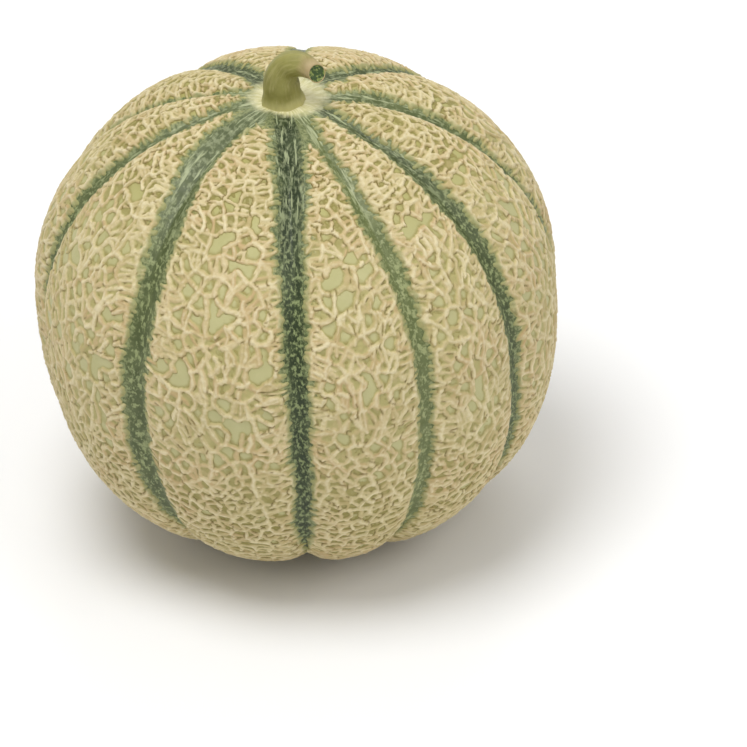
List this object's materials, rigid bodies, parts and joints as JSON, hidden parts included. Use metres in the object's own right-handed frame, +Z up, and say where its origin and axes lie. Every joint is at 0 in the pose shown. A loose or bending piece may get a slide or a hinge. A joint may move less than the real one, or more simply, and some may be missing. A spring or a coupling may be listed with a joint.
{
  "type": "cantaloupe melon",
  "caption": "Round netted melon with soft ribs, smooth green grooves and a short bent stem stub, standing on a small flat spot.",
  "frame": {"origin": "middle of the flat spot under the blossom end, where the melon rests", "axes": "+Z up the fruit's axis to the stem, -Y the front, which has a groove down its middle, +X to the right seen from the front"},
  "size_m": [0.1499, 0.15, 0.1534],
  "materials": {
    "net": "dry corky raised net, cream to beige",
    "rind": "smooth satin rind, mottled dark green in the grooves and pale green between the strands",
    "stem": "smooth satin light olive stalk",
    "stem_cut": "moist dark green cut end"
  },
  "bodies": {
    "root": {"fruit": "net", "stem": "stem"}
  },
  "joints": []
}
